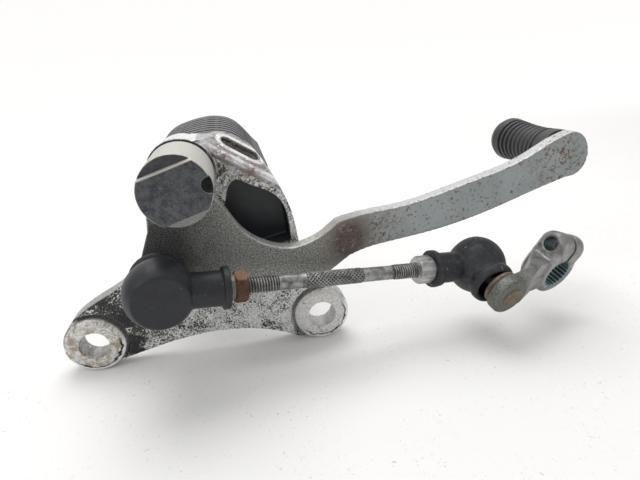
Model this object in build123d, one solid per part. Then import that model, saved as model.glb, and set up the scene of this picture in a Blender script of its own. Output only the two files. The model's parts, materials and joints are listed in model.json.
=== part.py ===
"""Left footrest bracket of a motorcycle with its gear shift lever and shift linkage.

Frame: origin midway between the two mounting holes, in the plane of their boss faces.
+X forward, along the line of the two mounting holes; +Y outboard; +Z up.
Every piece is drawn with the lever pivot at nought and moved to the origin when it is exported.
"""
import os
from math import cos, pi, radians, sin, sqrt

from build123d import *

# ---------------------------------------------------------------- driving dimensions (mm)
# pivot
hub_radius = 11.6
hub_inboard = 20.0
hub_end_y = 6.0
journal_radius = 8.0
journal_end_y = 31.0
flat_depth = 1.6
flat_offsets = (7.6, 8.7)
flat_angle = 17.5
notch_radius = 2.6
ring_groove_width = 1.5
snap_ring_width = 1.2
washer_clearance = 0.3
running_gap = 0.04

# bracket casting
mount_plane_y = 7.0
web_front_y = 8.5
web_back_y = 16.0
hole_spacing = 90.0
hole_radius = 5.5
mount_boss_radius = 11.6
left_hole = (-42.1, -64.2)
right_hole = (left_hole[0] + hole_spacing, left_hole[1])
pivot_boss_radius = 12.3
pivot_boss_back_radius = 11.4
pivot_boss_rounding = 1.3
pivot_boss_front_y = 7.0
pivot_boss_back_y = 27.0
bush_radius = 9.6
wing_back_y = 24.0
pocket_floor_y = 19.0
slope_point = (21.8, 17.0, 5.5)
slope_normal = (0.497, -0.362, 0.789)
slope_side = (0.841, -0.019, -0.538)
groove_sink = 2.0
groove_length = 15.0
groove_width = 4.6
ejector_pads = ((30.3, -59.8), (28.5, -65.0))
ejector_pad_radius = 2.4

# shift lever
plate_thickness = 6.0
joggle_start_x = 51.0
joggle_end_x = 66.0
joggle_offset = 6.0
toe_center = (153.0, -6.0)
toe_end_radius = 9.2
toe_pin_radius = 4.5
toe_pin_length = 34.0
toe_rivet_radius = 3.5
toe_rubber_length = 41.0
toe_groove_count = 9
toe_groove_pitch = 3.0
toe_groove_width = 1.3
weld_leg = 3.2
weld_start = 44.0
weld_arc = 118.0

# footrest
hinge_y = 36.0
hinge_z = -4.0
hinge_pin_radius = 3.5
pin_tail = 3.4
ear_centers_x = (12.4, 22.6)
ear_thickness = 4.0
ear_radius = 7.0
tongue_width = 6.0
tongue_radius = 6.6
peg_center_x = 12.0
bar_width = 24.0
bar_height = 8.0
bar_end_gap = 6.0
pad_start_y = 50.0
pad_end_y = 118.0
pad_low_z = -15.0
pad_chamfer = 1.6
groove_depth = 1.8
rib_count = 7
screw_positions = (66.0, 100.0)
screw_radius = 2.5
screw_head_radius = 4.4
screw_head_height = 3.0

# linkage: a rod between two ball joints
ball_a = (-10.0, -18.0, -33.5)
link_length = 126.0
link_drop = 6.8
link_splay = 9.3
ball_radius = 4.5
seat_radius = 6.5
seat_clearance = 0.03
eye_radius = 8.0
eye_half = 5.0
neck_radius = 2.6
shank_radius = 4.6
shank_end = 24.4
thread_radius = 3.0
thread_end = 40.2
thread_pitch = 1.0
thread_depth = 0.45
rod_start = 12.0
rod_radius = 2.75
knurl_start = 50.4
knurl_end = 73.0
knurl_radius = 2.95
rod_bore = 3.05
nut_flats = 10.0
nut_a_length = 4.4
nut_b_length = 6.4
nut_a_turn = 41.0
nut_b_turn = 43.0
shank_end_b = 22.8
boot_radius = 11.8
boot_inner_radius = 10.0
boot_flat_depth = 7.6
boot_wall = 2.0
boot_sleeve_radius = 6.2
boot_sleeve_length = 22.0
boot_rim_width = 2.4
boot_rim_radius = 7.5
skirt_radius = 8.6
skirt_lip_a = 13.0
skirt_lip_b = 10.6

# shift arm
arm_axis = (0.264, -0.911, -0.318)
arm_direction = (0.9617, 0.2751, 0.0078)
arm_centres = 29.5
arm_face = 21.0
arm_eye_radius = 8.4
arm_eye_thickness = 5.6
clamp_radius = 10.2
clamp_width = 11.2
clamp_setback = 3.4
spline_radius = 6.6
spline_depth = 0.7
spline_count = 24
slit_width = 2.2
slit_direction = 67.0
pinch_offset = 10.4
pinch_hole_radius = 2.9
near_ear = 10.6
far_ear = 8.2
stud_collar_radius = 7.4
stud_collar_thickness = 2.0
stud_rivet_radius = 3.0


low = (Align.CENTER, Align.CENTER, Align.MIN)


# ---------------------------------------------------------------- helpers
def y_cylinder(radius, y_start, y_end, x=0.0, z=0.0):
    """Cylinder parallel to Y between two Y positions."""
    plane = Plane((x, y_start, z), x_dir=(1, 0, 0), z_dir=(0, 1, 0))
    return plane * Cylinder(radius, y_end - y_start, align=low)


def xz_prism(edges, y_start, y_end):
    """Solid between two Y positions whose outline is a closed loop of edges drawn in XZ."""
    face = make_face(edges)
    plane = Plane((0, y_start, 0), x_dir=(1, 0, 0), z_dir=(0, -1, 0))
    return extrude(plane * face, -(y_end - y_start))


def ring(outer, inner, y_start, y_end):
    """Plain ring around the pivot axis."""
    return y_cylinder(outer, y_start, y_end) - y_cylinder(inner, y_start - 1, y_end + 1)


def closed_outline(points, arcs=()):
    """Polygon with smooth runs: each (first, last) pair in arcs becomes one spline."""
    edges = []
    i = 0
    starts = {a: b for a, b in arcs}
    count = len(points)
    while i < count:
        if i in starts:
            last = starts[i]
            edges.append(Spline(*[points[k % count] for k in range(i, last + 1)]))
            i = last
        else:
            edges.append(Line(points[i], points[(i + 1) % count]))
            i += 1
    return edges


def unit(vector):
    """Vector of length one."""
    length = sqrt(sum(c * c for c in vector))
    return tuple(c / length for c in vector)


rod_direction = (
    cos(radians(link_splay)) * cos(radians(link_drop)),
    sin(radians(link_splay)),
    -cos(radians(link_splay)) * sin(radians(link_drop)),
)
eye_direction = unit(
    (
        -sin(radians(link_splay)) * cos(radians(link_drop)),
        cos(radians(link_splay)),
        sin(radians(link_splay)) * sin(radians(link_drop)),
    )
)
ball_b = tuple(ball_a[k] + link_length * rod_direction[k] for k in range(3))
# link frame: x along the rod, z along the eye of rod end A (outboard)
link_plane = Plane(ball_a, x_dir=rod_direction, z_dir=eye_direction)
# at the far end the eye opens along the arm axis, square to the rod
arm_unit = Vector(*unit(arm_axis))
along = arm_unit.dot(Vector(*rod_direction))
eye_b_direction = arm_unit - Vector(*rod_direction) * along
link_plane_b = Plane(ball_b, x_dir=-Vector(*rod_direction), z_dir=eye_b_direction.normalized())
arm_plane = Plane(ball_b, x_dir=arm_direction, z_dir=arm_axis)


# ---------------------------------------------------------------- bracket
def bracket_casting():
    """Cast bracket: web, two mounting bosses, pivot boss, hollow wing and footrest clevis."""
    web_points = [
        (-14.0, -3.0), (-15.3, -19.9), (-18.5, -30.0), (-27.0, -40.0), (-38.5, -46.5), (-48.5, -53.5),
        (left_hole[0] - 10.4, left_hole[1] - 4.2), (left_hole[0] + 2.0, left_hole[1] - 11.3),
        (-31.5, -72.4), (-15.0, -68.3), (5.0, -66.0), (22.0, -67.9), (37.5, -73.9),
        (right_hole[0], right_hole[1] - 11.5), (right_hole[0] + 10.6, right_hole[1] + 4.2),
        (53.0, -54.0), (45.5, -45.5), (41.0, -34.0), (38.8, -20.0), (34.0, -7.5), (27.0, 3.0), (10.0, 8.0),
    ]
    body = xz_prism(closed_outline(web_points, [(1, 5), (8, 12), (15, 20)]), web_front_y, web_back_y)
    wing_points = [
        (0.0, -16.0), (4.0, 11.5), (10.0, 11.0), (17.0, 11.2), (22.5, 8.8), (27.0, 4.0),
        (33.5, -7.0), (38.3, -19.0), (40.2, -30.0), (40.5, -36.0), (14.0, -33.0),
    ]
    body += xz_prism(closed_outline(wing_points, [(2, 8)]), web_front_y, wing_back_y)
    # footrest clevis: two ears on a base block
    base_width = ear_centers_x[1] - ear_centers_x[0] + ear_thickness
    base_center = (ear_centers_x[0] + ear_centers_x[1]) / 2
    for x in ear_centers_x:
        ear_plane = Plane((x - ear_thickness / 2, hinge_y, hinge_z), x_dir=(0, 1, 0), z_dir=(1, 0, 0))
        body += ear_plane * Cylinder(ear_radius, ear_thickness, align=low)
        reach = hinge_y - web_back_y
        body += Pos(x, hinge_y - reach / 2, hinge_z) * Box(ear_thickness, reach, 2 * ear_radius)
    body += Pos(base_center, 20.0, hinge_z) * Box(base_width, 8.0, 2 * ear_radius)
    # the top of the wing slopes back from its front rim and carries a long oval groove
    slope_plane = Plane(slope_point, x_dir=slope_side, z_dir=slope_normal)
    body -= slope_plane * Box(60.0, 60.0, 30.0, align=low)
    groove = extrude(SlotOverall(groove_length, groove_width), 12.0)
    body -= slope_plane * (Pos(0, 0, -groove_sink) * groove)
    for x, z in (left_hole, right_hole):
        body += y_cylinder(mount_boss_radius, mount_plane_y, web_back_y, x, z)
    boss_plane = Plane((0, pivot_boss_front_y, 0), x_dir=(1, 0, 0), z_dir=(0, 1, 0))
    boss = Cone(pivot_boss_radius, pivot_boss_back_radius, pivot_boss_back_y - pivot_boss_front_y, align=low)
    body += boss_plane * fillet(boss.edges().sort_by(Axis.Z)[0], pivot_boss_rounding)
    # hollow of the wing, open to the inboard side
    pocket_points = [
        (11.5, -15.5), (14.6, -10.5), (15.8, -6.8), (18.0, -4.6), (24.0, -7.0), (30.5, -10.0),
        (34.4, -14.0), (36.8, -22.0), (37.4, -30.5), (25.0, -33.0), (15.0, -27.0),
    ]
    body -= xz_prism(closed_outline(pocket_points, [(0, 8)]), web_front_y - 1, pocket_floor_y)
    # bores
    for x, z in (left_hole, right_hole):
        body -= y_cylinder(hole_radius, 0, web_back_y + 5, x, z)
    body -= y_cylinder(bush_radius, 0, pivot_boss_back_y + 5)
    pin_plane = Plane((0, hinge_y, hinge_z), x_dir=(0, 1, 0), z_dir=(1, 0, 0))
    body -= pin_plane * Cylinder(hinge_pin_radius, 80)
    for x, z in ejector_pads:
        body += y_cylinder(ejector_pad_radius, web_front_y - 0.6, web_front_y + 1, x, z)
    return body


def pivot_bush():
    """Plain bush pressed into the pivot boss."""
    return ring(bush_radius, journal_radius + running_gap, pivot_boss_front_y, pivot_boss_back_y)


def thrust_washer():
    """Washer between the hub shoulder and the face of the pivot boss."""
    return ring(hub_radius - 0.5, journal_radius + washer_clearance, hub_end_y + 0.05, pivot_boss_front_y)


def end_washer():
    """Washer on the outboard end of the pivot boss."""
    outer = journal_radius + 2.2
    return ring(outer, journal_radius + washer_clearance, pivot_boss_back_y, pivot_boss_back_y + 1.0)


def retaining_clip():
    """Snap ring in the groove of the journal, open on one side."""
    start = pivot_boss_back_y + 1.1
    clip = ring(journal_radius + 1.8, journal_radius - 0.8, start, start + snap_ring_width)
    return clip - Pos(0, start + snap_ring_width / 2, -journal_radius - 2) * Box(6.0, 4.0, 8.0)


# ---------------------------------------------------------------- lever
def lever_plate():
    """Joggled plate: hub end, ball stud corner and the long arm to the toe."""
    tx, tz = toe_center
    points = [
        (-11.6, 0.0), (-13.5, -17.5), (-18.5, -30.0), (-17.5, -38.0), (-11.5, -41.0), (-2.0, -42.0),
        (36.0, -44.0), (46.0, -43.8), (52.5, -41.0), (59.5, -37.6), (72.0, -35.4), (96.0, -32.0),
        (117.0, -27.0), (137.5, -20.2), (tx + 0.5, tz - toe_end_radius), (tx + 8.0, tz - 4.5),
        (tx + 7.2, tz + 5.4), (tx + 0.5, tz + toe_end_radius), (146.0, 0.4), (135.0, -5.4), (111.0, -13.2),
        (84.0, -20.0), (65.0, -21.8), (55.0, -22.5), (46.0, -27.7), (36.5, -30.1), (27.0, -27.5),
        (19.0, -21.3), (14.5, -14.0), (10.0, -8.0), (0.0, -8.0),
    ]
    edges = [
        Line(points[0], points[1]),
        Line(points[1], points[2]),
        Spline(*points[2:6]),
        Line(points[5], points[6]),
        Spline(*points[6:10]),
        Spline(*points[9:15]),
        Spline(*points[14:18]),
        Spline(*points[17:24]),
        Spline(*points[23:30]),
        Line(points[29], points[30]),
        Line(points[30], points[0]),
    ]
    prism = xz_prism(edges, -1.0, plate_thickness + joggle_offset + 1.0)
    side = make_face(
        Polyline(
            (-40, 0), (joggle_start_x, 0), (joggle_end_x, joggle_offset), (180, joggle_offset),
            (180, joggle_offset + plate_thickness), (joggle_end_x - 1.0, joggle_offset + plate_thickness),
            (joggle_start_x - 1.0, plate_thickness), (-40, plate_thickness), close=True,
        )
    )
    strip = Pos(0, 0, -70) * extrude(side, 100)
    plate = prism & strip
    plate -= y_cylinder(hub_radius, -5, 15)
    plate -= y_cylinder(neck_radius + 0.4, -5, 15, ball_a[0], ball_a[2])
    plate -= y_cylinder(toe_rivet_radius, joggle_offset + 1, 25, tx, tz)
    return plate


def lever_hub():
    """Turned hub with two flats on its inboard face and the journal that turns in the bracket."""
    hub = y_cylinder(hub_radius, -hub_inboard, hub_end_y)
    hub = chamfer(hub.edges().sort_by(Axis.Y)[0], 0.5)
    hub += y_cylinder(journal_radius, hub_end_y, journal_end_y)
    face_plane = Plane((0, -hub_inboard, 0), x_dir=(1, 0, 0), z_dir=(0, 1, 0))
    cutter_width = 10.0
    upper_offset, lower_offset = flat_offsets
    for offset in (lower_offset + cutter_width / 2, -upper_offset - cutter_width / 2):
        cutter = Pos(0, offset, 0) * Box(40, cutter_width, 2 * flat_depth)
        hub -= face_plane * Rot(0, 0, -flat_angle) * cutter
    groove_y = pivot_boss_back_y + 1.0
    hub -= ring(journal_radius + 2, journal_radius - 0.9, groove_y, groove_y + ring_groove_width)
    # small notch at the edge of the face
    hub -= Pos(hub_radius - 1.0, -hub_inboard, 1.5) * Sphere(notch_radius)
    return hub


def hub_weld():
    """Weld fillet in the corner between hub and lever plate."""
    half = weld_leg / 2
    corner = (hub_radius, 0)
    top = (hub_radius + weld_leg, 0)
    bulge = (hub_radius + half, -half)
    foot = (hub_radius, -weld_leg)
    section = make_face(Polyline(corner, top, bulge, foot, close=True))
    bead = revolve(section, Axis.Y, revolution_arc=weld_arc)
    return Rot(0, weld_start, 0) * bead


def ball_stud_a():
    """Ball stud riveted into the lever plate; the ball stands inboard of it."""
    x, y, z = ball_a
    stud = Pos(x, y, z) * Sphere(ball_radius)
    stud += y_cylinder(neck_radius, y, plate_thickness, x, z)
    stud += y_cylinder(5.0, -2.0, 0.0, x, z)
    stud += y_cylinder(neck_radius + 0.4, 0.0, plate_thickness, x, z)
    stud += y_cylinder(neck_radius + 1.8, plate_thickness, plate_thickness + 1.0, x, z)
    return stud


def toe_peg_pin():
    """Steel pin of the toe peg, let into the back of the arm."""
    tx, tz = toe_center
    start = joggle_offset + plate_thickness
    end = start + toe_pin_length
    pin = y_cylinder(toe_rivet_radius, joggle_offset + 1, start, tx, tz)
    pin += y_cylinder(toe_pin_radius, start, end, tx, tz)
    pin += y_cylinder(toe_pin_radius + 1.4, end - 3.0, end, tx, tz)
    return pin


def toe_peg_rubber():
    """Waisted rubber sleeve with ring grooves and a rounded closed end."""
    tx, tz = toe_center
    length = toe_rubber_length
    outline = Polyline(
        (0, length), (6.2, length), (8.8, length - 1.6), (9.9, length - 4.5), (9.6, length - 8.0),
        (8.7, 22.0), (8.5, 13.0), (9.0, 5.0), (9.2, 0.3), (0, 0.3), close=True,
    )
    start = joggle_offset + plate_thickness
    end = start + toe_pin_length
    plane = Plane((tx, start, tz), x_dir=(1, 0, 0), z_dir=(0, 0, 1))
    body = plane * revolve(make_face(outline), Axis.Y)
    for k in range(toe_groove_count):
        y = start + 7.0 + toe_groove_pitch * k
        groove = y_cylinder(14.0, y, y + toe_groove_width, tx, tz)
        body -= groove - y_cylinder(8.0, y - 1, y + 3, tx, tz)
    body -= y_cylinder(toe_pin_radius, start - 1, end, tx, tz)
    body -= y_cylinder(toe_pin_radius + 1.4, end - 3.0, end, tx, tz)
    return body


# ---------------------------------------------------------------- footrest
def footpeg_bar():
    """Folding footrest: tongue in the clevis and the bar under the rubber."""
    tongue_x = (ear_centers_x[0] + ear_centers_x[1]) / 2
    pin_plane = Plane((tongue_x - tongue_width / 2, hinge_y, hinge_z), x_dir=(0, 1, 0), z_dir=(1, 0, 0))
    bar = pin_plane * Cylinder(tongue_radius, tongue_width, align=low)
    bar += Pos(tongue_x, hinge_y + 5.0, hinge_z) * Box(tongue_width, 10.0, 10.0)
    start = hinge_y + 9.0
    end = pad_end_y - bar_end_gap
    bar += Pos(peg_center_x, (start + end) / 2, hinge_z) * Box(bar_width, end - start, bar_height)
    bar -= pin_plane * Cylinder(hinge_pin_radius + running_gap, 60)
    for y in screw_positions:
        bar -= Pos(peg_center_x, y, hinge_z) * Cylinder(screw_radius, 20)
    return bar


def pad_outline():
    """Cross-section of the footrest pad, crowned and rolled down towards the front."""
    crown = Spline(
        (-15.0, -0.6), (-10.8, 2.8), (-1.2, 6.3), (8.0, 7.8), (17.0, 6.9), (21.2, 5.0), (26.0, 0.6), (34.0, -9.0),
    )
    sides = Polyline((34.0, -9.0), (34.0, pad_low_z), (-15.0, pad_low_z), (-15.0, -0.6))
    face = make_face([crown, sides])
    low_corners = face.vertices().sort_by(Axis.Y)[:2]
    return fillet(low_corners, 3.0)


def footpeg_rubber():
    """Rubber pad around the bar, with fine grooves across its top."""
    start_plane = Plane((0, pad_start_y, 0), x_dir=(1, 0, 0), z_dir=(0, -1, 0))
    length = pad_end_y - pad_start_y
    pad = extrude(start_plane * pad_outline(), -length)
    for end in (0, -1):
        rim = pad.faces().sort_by(Axis.Y)[end].edges()
        pad = chamfer(rim, pad_chamfer)
    core = extrude(start_plane * (Pos(0, -groove_depth) * pad_outline()), -length)
    pitch = (length - 12.0) / rib_count
    for k in range(rib_count):
        y = pad_start_y + 7.0 + pitch * k
        slab = Pos(peg_center_x, y, 4.0) * Box(60.0, 0.4 * pitch, 16.0)
        pad -= slab - core
    bar_room = length - bar_end_gap
    pad -= Pos(peg_center_x, pad_start_y + bar_room / 2, hinge_z) * Box(bar_width, bar_room, bar_height)
    bar_low_z = hinge_z - bar_height / 2
    for y in screw_positions:
        pad -= Pos(peg_center_x, y, pad_low_z) * Cylinder(screw_head_radius + 0.2, 2 * (bar_low_z - pad_low_z))
    return pad


def footpeg_screws():
    """Two screws that hold the rubber pad from below."""
    screws = []
    bar_low_z = hinge_z - bar_height / 2
    for y in screw_positions:
        shaft = Pos(peg_center_x, y, bar_low_z + 3.0) * Cylinder(screw_radius, 6.0)
        head = Pos(peg_center_x, y, bar_low_z - screw_head_height) * Cylinder(
            screw_head_radius, screw_head_height, align=low
        )
        head -= Pos(peg_center_x, y, bar_low_z - screw_head_height) * Box(1.2, 10.0, 1.6)
        screws.append(shaft + head)
    return Compound(children=screws)


def footpeg_hinge_pin():
    """Hinge pin with a head at the front ear and a groove for its clip behind the rear ear."""
    x_rear = ear_centers_x[0] - ear_thickness / 2
    x_front = ear_centers_x[1] + ear_thickness / 2
    plane = Plane((x_rear - pin_tail, hinge_y, hinge_z), x_dir=(0, 1, 0), z_dir=(1, 0, 0))
    pin = plane * Cylinder(hinge_pin_radius, x_front - x_rear + pin_tail, align=low)
    head_plane = Plane((x_front, hinge_y, hinge_z), x_dir=(0, 1, 0), z_dir=(1, 0, 0))
    head = head_plane * Cylinder(5.4, 2.2, align=low)
    pin += chamfer(head.edges().sort_by(Axis.X)[-1], 0.8)
    groove_plane = Plane((x_rear - 1.6, hinge_y, hinge_z), x_dir=(0, 1, 0), z_dir=(1, 0, 0))
    pin -= groove_plane * (Cylinder(6.0, 1.2, align=low) - Cylinder(2.6, 1.2, align=low))
    return pin


def footpeg_clip():
    """Snap ring on the rear end of the hinge pin."""
    x_rear = ear_centers_x[0] - ear_thickness / 2
    plane = Plane((x_rear - 1.5, hinge_y, hinge_z), x_dir=(0, 1, 0), z_dir=(1, 0, 0))
    clip = Cylinder(5.2, 1.0, align=low) - Cylinder(2.65, 1.0, align=low)
    clip -= Pos(-5, 0, 0) * Box(8.0, 3.4, 3.0)
    return plane * clip


# ---------------------------------------------------------------- linkage
def rod_end(plane, length):
    """Ball housing with its shank; local x runs down the rod and local z out of the open side."""
    eye = Cylinder(eye_radius, 2 * eye_half)
    eye -= Sphere(seat_radius + seat_clearance)
    eye -= Cylinder(5.0, 10.0, align=low)
    shank_plane = Plane((eye_radius - 1.0, 0, 0), x_dir=(0, 1, 0), z_dir=(1, 0, 0))
    shank = shank_plane * Cylinder(shank_radius, length - eye_radius + 1.0, align=low)
    bore_plane = Plane((10.5, 0, 0), x_dir=(0, 1, 0), z_dir=(1, 0, 0))
    body = eye + (shank - Sphere(seat_radius + seat_clearance))
    body -= bore_plane * Cylinder(rod_bore, 30.0, align=low)
    return plane * body


def ball_seat(center, axis):
    """Plastic seat around the ball, open on the side of the stud."""
    plane = Plane(center, z_dir=axis)
    seat = Sphere(seat_radius) - Sphere(ball_radius + seat_clearance)
    seat -= Pos(0, 0, 2.6 + 5.0) * Box(20, 20, 10)
    seat -= Pos(0, 0, -4.0 - 5.0) * Box(20, 20, 10)
    return plane * seat


def boot(plane, skirt_lip):
    """Rubber boot over a rod end: bulb with a flat back, skirt at the stud and sleeve on the shank."""
    sleeve_plane = Plane((0, 0, 0), x_dir=(0, 1, 0), z_dir=(1, 0, 0))
    rim_plane = Plane((boot_sleeve_length - 1.7, 0, 0), x_dir=(0, 1, 0), z_dir=(1, 0, 0))
    lip_plane = Plane((0, 0, skirt_lip - 1.2), x_dir=(1, 0, 0), z_dir=(0, 0, 1))
    outer = Sphere(boot_radius)
    outer -= Pos(0, 0, -boot_radius - boot_flat_depth) * Box(40, 40, 2 * boot_radius)
    outer += sleeve_plane * Cylinder(boot_sleeve_radius, boot_sleeve_length, align=low)
    outer += rim_plane * Cylinder(boot_rim_radius, boot_rim_width, align=low)
    outer += Cylinder(skirt_radius, skirt_lip - 0.6, align=low)
    outer += lip_plane * Torus(skirt_radius, 1.2)
    inner = Sphere(boot_inner_radius)
    inner -= Pos(0, 0, -boot_inner_radius - boot_flat_depth + boot_wall) * Box(40, 40, 2 * boot_inner_radius)
    inner += sleeve_plane * Cylinder(shank_radius + 0.05, 40.0, align=low)
    inner += Cylinder(skirt_radius - 1.6, 30.0, align=low)
    return plane * (outer - inner)


def lock_nut(plane, start, length, turn):
    """Thin hexagon nut with chamfered corners, run up against the shank and turned by an angle."""
    nut_plane = Plane((start, 0, 0), x_dir=(0, 1, 0), z_dir=(1, 0, 0))
    corner = nut_flats / sqrt(3)
    nut = extrude(RegularPolygon(corner, 6, rotation=turn), length)
    cone = Cylinder(corner - 0.15, length, align=low)
    cone = chamfer(cone.edges().filter_by(GeomType.CIRCLE), 0.6)
    nut = (nut & cone) - Cylinder(rod_bore, 3 * length)
    return plane * nut_plane * nut


def link_rod():
    """Adjusting rod: plain middle with a diamond knurl, a thread on each end."""
    root = thread_radius - thread_depth
    near_end = thread_end - rod_start
    knurl_low = knurl_start - rod_start
    knurl_high = knurl_end - rod_start
    turns = int(near_end)
    total = link_length - 2 * rod_start
    far_start = total - turns
    profile = [(0, 0), (root, 0)]
    for k in range(turns):
        s = k * thread_pitch
        profile += [(thread_radius, s + 0.45), (root, s + 0.95)]
    profile += [(rod_radius, near_end), (rod_radius, knurl_low), (knurl_radius, knurl_low + 0.4)]
    profile += [(knurl_radius, knurl_high - 0.4), (rod_radius, knurl_high), (rod_radius, far_start)]
    for k in range(turns):
        s = far_start + k * thread_pitch
        profile += [(root, s + 0.05), (thread_radius, s + 0.55)]
    profile += [(root, total), (0, total)]
    body = revolve(make_face(Polyline(*profile, close=True)), Axis.Y)
    axis_plane = Plane((rod_start, 0, 0), x_dir=(0, 0, 1), z_dir=(0, 1, 0))
    return link_plane * axis_plane * body


# ---------------------------------------------------------------- shift arm
def shift_arm():
    """Forged arm: eye for the ball stud, neck and a slit clamp with a splined bore."""
    eye_back = arm_face - arm_eye_thickness
    eye = Pos(0, 0, eye_back) * Cylinder(arm_eye_radius, arm_eye_thickness, align=low)
    eye = fillet(eye.edges().filter_by(GeomType.CIRCLE), 1.6)
    clamp_top = arm_face - clamp_setback
    # neck: tapered in plan, stepped back from the eye to the clamp in side view
    neck_end = arm_centres - 4.0
    neck_plan = make_face(Polyline((0, -6.8), (neck_end, -5.8), (neck_end, 8.8), (0, 7.6), close=True))
    neck_side = make_face(
        Polyline(
            (2.0, eye_back + 0.5),
            (10.5, eye_back),
            (19.0, clamp_top - 8.6),
            (neck_end, clamp_top - 9.6),
            (neck_end, clamp_top - 0.6),
            (16.5, clamp_top - 0.4),
            (7.5, arm_face - 0.8),
            (2.0, arm_face - 0.5),
            close=True,
        )
    )
    side_plane = Plane((0, -12.0, 0), x_dir=(1, 0, 0), z_dir=(0, -1, 0))
    neck = extrude(neck_plan, 30.0) & extrude(side_plane * neck_side, -24.0)
    # clamp, drawn with the pinch bolt along X and the ears towards +Y
    barrel = Cylinder(clamp_radius, clamp_width, align=low)
    barrel = chamfer(barrel.edges().filter_by(GeomType.CIRCLE), 1.0)
    middle = clamp_width / 2
    ear_plane = Plane((-near_ear, 0, 0), x_dir=(0, 1, 0), z_dir=(1, 0, 0))
    ear_profile = Pos(pinch_offset / 2, middle) * Rectangle(pinch_offset, clamp_width)
    ear_profile += Pos(pinch_offset, middle) * Circle(middle)
    ears = extrude(ear_plane * ear_profile, near_ear + far_ear)
    end_faces = ears.faces().filter_by(Axis.X)
    ears = chamfer(end_faces.edges().filter_by(GeomType.CIRCLE), 1.4)
    clamp = barrel + ears
    clamp -= Pos(0, 0, -2) * Cylinder(spline_radius - spline_depth, clamp_width + 4, align=low)
    tooth_width = pi * spline_radius / spline_count
    gap = Pos(spline_radius - spline_depth, 0, -2) * Box(2 * spline_depth, tooth_width, clamp_width + 4, align=low)
    clamp -= [Rot(0, 0, 360 / spline_count * k) * gap for k in range(spline_count)]
    clamp -= Pos(0, 0, -3) * Box(slit_width, 40, clamp_width + 6, align=(Align.CENTER, Align.MIN, Align.MIN))
    hole_plane = Plane((0, pinch_offset, middle), x_dir=(0, 1, 0), z_dir=(1, 0, 0))
    clamp -= hole_plane * Cylinder(pinch_hole_radius, 40)
    clamp = Pos(arm_centres, 0, clamp_top - clamp_width) * Rot(0, 0, slit_direction - 90.0) * clamp
    # the neck stops at the bore and at the slit
    neck -= Pos(arm_centres, 0, 0) * Cylinder(clamp_radius - 1.5, 30, align=low)
    body = eye + neck + clamp
    body -= Pos(0, 0, eye_back - 3) * Cylinder(stud_rivet_radius, 30, align=low)
    return arm_plane * body


def ball_stud_b():
    """Ball stud riveted into the eye of the shift arm."""
    shoulder = arm_face - arm_eye_thickness
    stud = Sphere(ball_radius)
    stud += Cylinder(neck_radius, shoulder, align=low)
    collar_start = shoulder - stud_collar_thickness
    collar = Pos(0, 0, collar_start) * Cylinder(stud_collar_radius, stud_collar_thickness, align=low)
    stud += chamfer(collar.edges().filter_by(GeomType.CIRCLE), 0.5)
    stud += Pos(0, 0, shoulder - 1.0) * Cylinder(stud_rivet_radius, arm_eye_thickness + 1.0, align=low)
    head = Pos(0, 0, arm_face) * Cylinder(4.2, 0.7, align=low)
    stud += chamfer(head.edges().sort_by(Axis.Z)[-1], 0.5)
    return arm_plane * stud


# ---------------------------------------------------------------- assembly
parts = {
    "bracket_casting": bracket_casting(),
    "pivot_bush": pivot_bush(),
    "thrust_washer": thrust_washer(),
    "end_washer": end_washer(),
    "retaining_clip": retaining_clip(),
    "lever_plate": lever_plate(),
    "lever_hub": lever_hub(),
    "hub_weld": hub_weld(),
    "ball_stud_a": ball_stud_a(),
    "toe_peg_pin": toe_peg_pin(),
    "toe_peg_rubber": toe_peg_rubber(),
    "footpeg_bar": footpeg_bar(),
    "footpeg_rubber": footpeg_rubber(),
    "footpeg_screws": footpeg_screws(),
    "footpeg_hinge_pin": footpeg_hinge_pin(),
    "footpeg_clip": footpeg_clip(),
    "rod_end_a": rod_end(link_plane, shank_end),
    "rod_end_b": rod_end(link_plane_b, shank_end_b),
    "ball_seat_a": ball_seat(ball_a, (0, 1, 0)),
    "ball_seat_b": ball_seat(ball_b, arm_axis),
    "boot_a": boot(link_plane, skirt_lip_a),
    "boot_b": boot(link_plane_b, skirt_lip_b),
    "lock_nut_a": lock_nut(link_plane, shank_end, nut_a_length, nut_a_turn),
    "lock_nut_b": lock_nut(link_plane_b, shank_end_b, nut_b_length, nut_b_turn),
    "link_rod": link_rod(),
    "shift_arm": shift_arm(),
    "ball_stud_b": ball_stud_b(),
}

# the two mounting holes lie on either side of the origin
to_origin = Pos(-left_hole[0] - hole_spacing / 2, -mount_plane_y, -left_hole[1])

os.makedirs("parts", exist_ok=True)
for name, shape in parts.items():
    export_step(to_origin * shape, f"parts/{name}.step")
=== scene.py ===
"""Looks for the left footrest bracket with gear shift lever and linkage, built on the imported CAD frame."""
import json
import math

import bmesh
import bpy
from mathutils import Matrix, Vector, noise

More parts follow.
